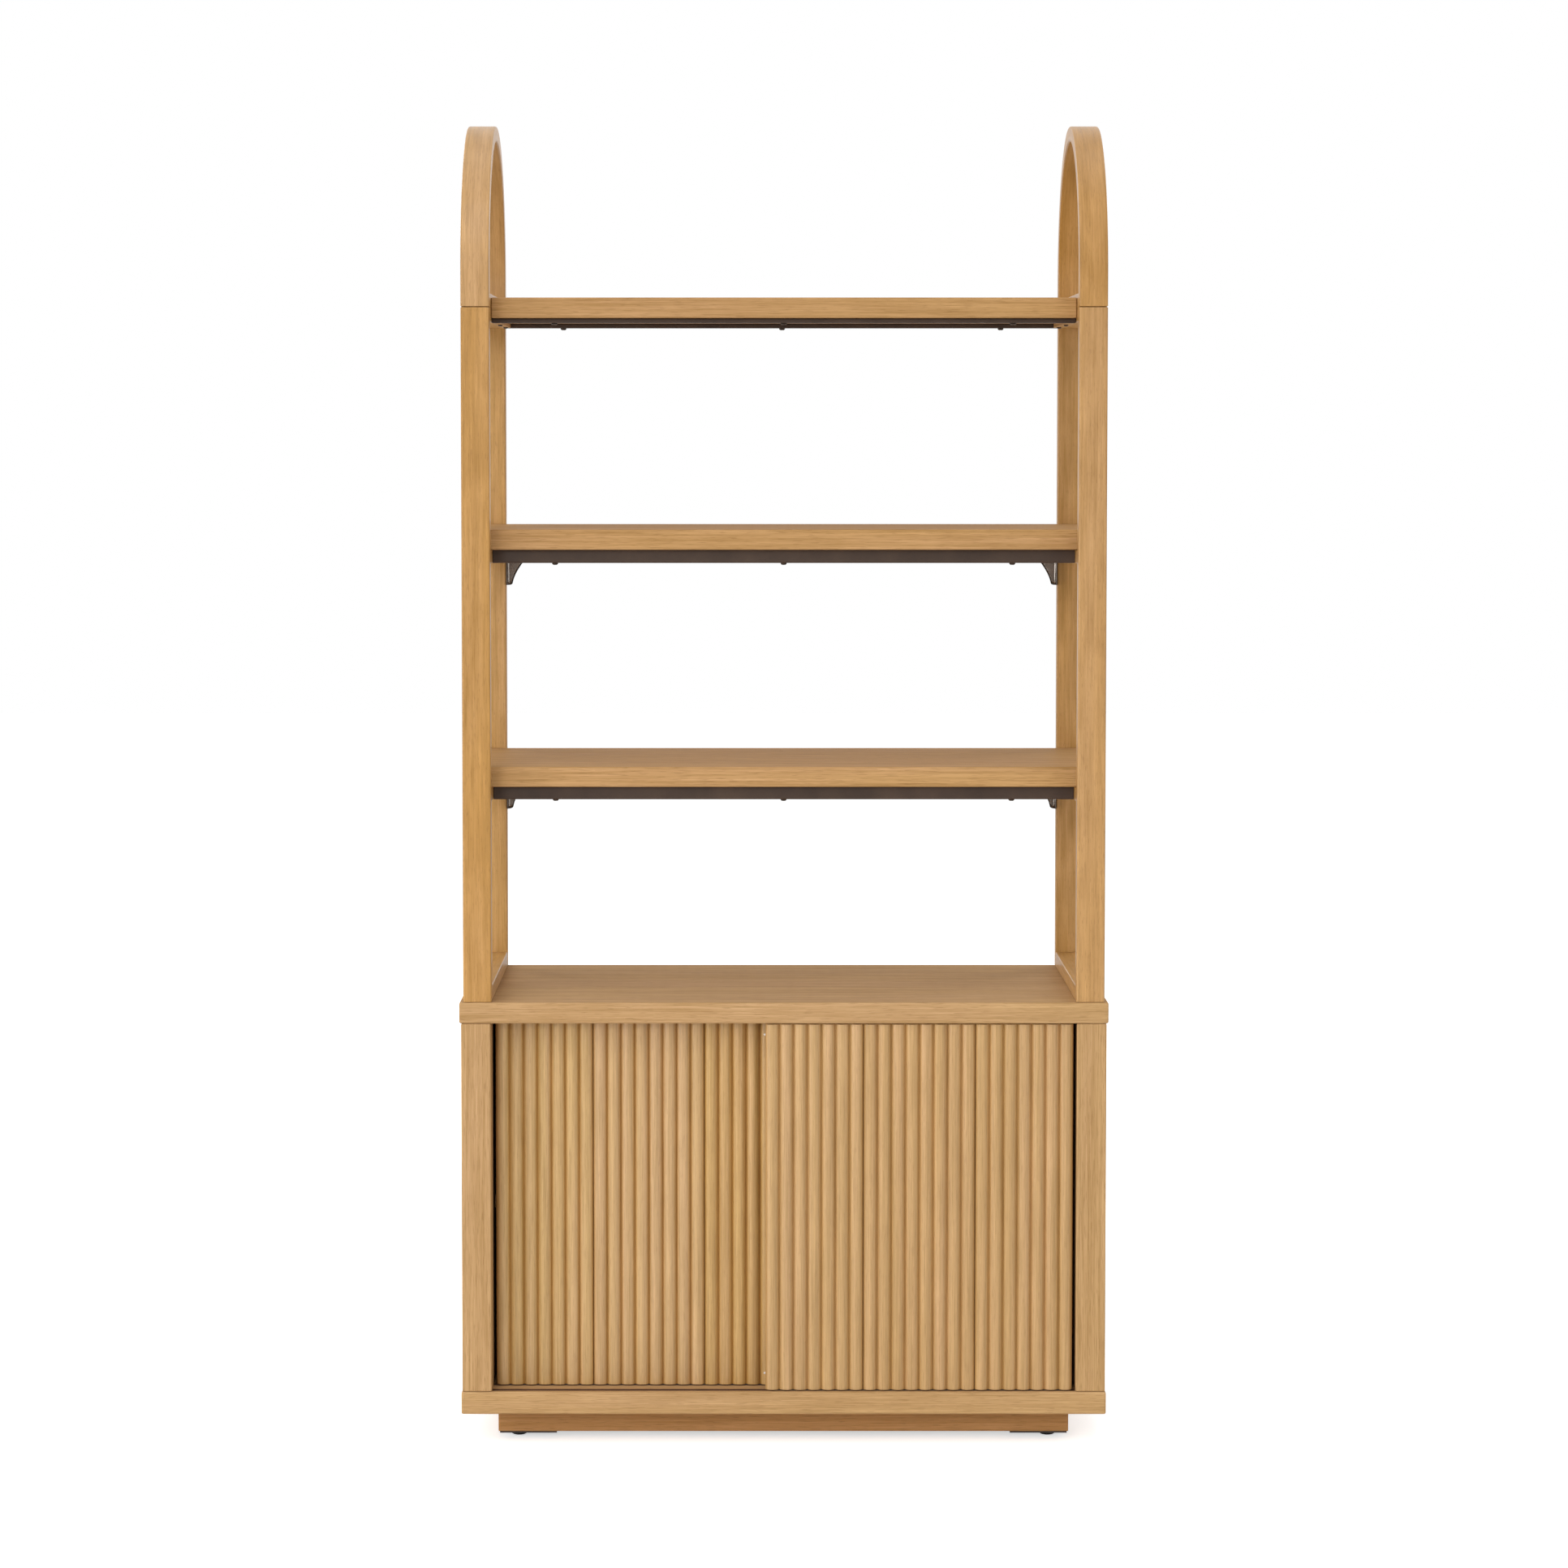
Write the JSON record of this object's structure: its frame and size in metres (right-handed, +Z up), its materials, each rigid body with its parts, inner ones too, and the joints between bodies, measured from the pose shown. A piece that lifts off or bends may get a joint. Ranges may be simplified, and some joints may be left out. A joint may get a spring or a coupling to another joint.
{
  "type": "bookcase with cabinet",
  "caption": "Open bookcase with arched side frames and shelves on steel bars, standing on a low cabinet with fluted sliding doors.",
  "frame": {"origin": "floor point under the middle of the object", "axes": "+Z up, the front faces -Y, +X to the right seen from the front"},
  "size_m": [0.8, 0.385, 1.6384],
  "materials": {
    "frame_wood": "glossy clear lacquer",
    "panel_wood": "satin lacquer",
    "shelf_wood": "satin lacquer",
    "door_wood": "satin lacquer",
    "plinth_wood": "satin lacquer",
    "back_board": "matt",
    "bar_steel": "dark brown, satin",
    "gusset_steel": "dark brown, glossy",
    "plate_steel": "dark",
    "pin_steel": "plated",
    "track_plastic": "brown",
    "runner_nylon": "brown-black nylon",
    "glide_plastic": "black"
  },
  "bodies": {
    "bookcase": {"arch_left": "frame_wood", "arch_right": "frame_wood", "back_panel": "back_board", "bottom_rail_left": "frame_wood", "bottom_rail_right": "frame_wood", "cabinet_bottom": "panel_wood", "cabinet_side_left": "panel_wood", "cabinet_side_right": "panel_wood", "cabinet_top": "panel_wood", "corner_plate_front_left": "plate_steel", "corner_plate_front_right": "plate_steel", "corner_plate_rear_left": "plate_steel", "corner_plate_rear_right": "plate_steel", "front_post_left": "frame_wood", "front_post_right": "frame_wood", "front_track": "track_plastic", "inner_shelf": "panel_wood", "lower_front_bar": "bar_steel", "lower_gusset_left": "gusset_steel", "lower_gusset_right": "gusset_steel", "lower_rail_left": "frame_wood", "lower_rail_right": "frame_wood", "lower_rear_bar": "bar_steel", "lower_shelf": "shelf_wood", "middle_front_bar": "bar_steel", "middle_gusset_left": "gusset_steel", "middle_gusset_right": "gusset_steel", "middle_rail_left": "frame_wood", "middle_rail_right": "frame_wood", "middle_rear_bar": "bar_steel", "middle_shelf": "shelf_wood", "plinth_front": "plinth_wood", "plinth_left": "plinth_wood", "plinth_rear": "plinth_wood", "plinth_right": "plinth_wood", "rear_post_left": "frame_wood", "rear_post_right": "frame_wood", "rear_track": "track_plastic", "shelf_pin_front_left": "pin_steel", "shelf_pin_front_right": "pin_steel", "shelf_pin_rear_left": "pin_steel", "shelf_pin_rear_right": "pin_steel", "top_front_bar": "bar_steel", "top_rail_left": "frame_wood", "top_rail_right": "frame_wood", "top_rear_bar": "bar_steel", "top_shelf": "shelf_wood"},
    "left_door": {"left_door_board_1": "door_wood", "left_door_board_2": "door_wood", "left_door_board_3": "door_wood", "left_door_runner": "runner_nylon"},
    "right_door": {"right_door_board_1": "door_wood", "right_door_board_2": "door_wood", "right_door_board_3": "door_wood", "right_door_runner": "runner_nylon"},
    "glide_front_left_body": {"glide_front_left": "glide_plastic"},
    "glide_front_right_body": {"glide_front_right": "glide_plastic"},
    "glide_rear_left_body": {"glide_rear_left": "glide_plastic"},
    "glide_rear_right_body": {"glide_rear_right": "glide_plastic"}
  },
  "joints": [
    {"name": "left_door_slide", "type": "slide", "parent": "bookcase", "child": "left_door", "axis": [1, 0, 0], "range_m": [0, 0.3348]},
    {"name": "right_door_slide", "type": "slide", "parent": "bookcase", "child": "right_door", "axis": [-1, 0, 0], "range_m": [0, 0.3348]},
    {"name": "glide_front_left_screw", "type": "slide", "parent": "bookcase", "child": "glide_front_left_body", "axis": [0, 0, -1], "range_m": [0, 0.008]},
    {"name": "glide_front_right_screw", "type": "slide", "parent": "bookcase", "child": "glide_front_right_body", "axis": [0, 0, -1], "range_m": [0, 0.008]},
    {"name": "glide_rear_left_screw", "type": "slide", "parent": "bookcase", "child": "glide_rear_left_body", "axis": [0, 0, -1], "range_m": [0, 0.008]},
    {"name": "glide_rear_right_screw", "type": "slide", "parent": "bookcase", "child": "glide_rear_right_body", "axis": [0, 0, -1], "range_m": [0, 0.008]}
  ]
}
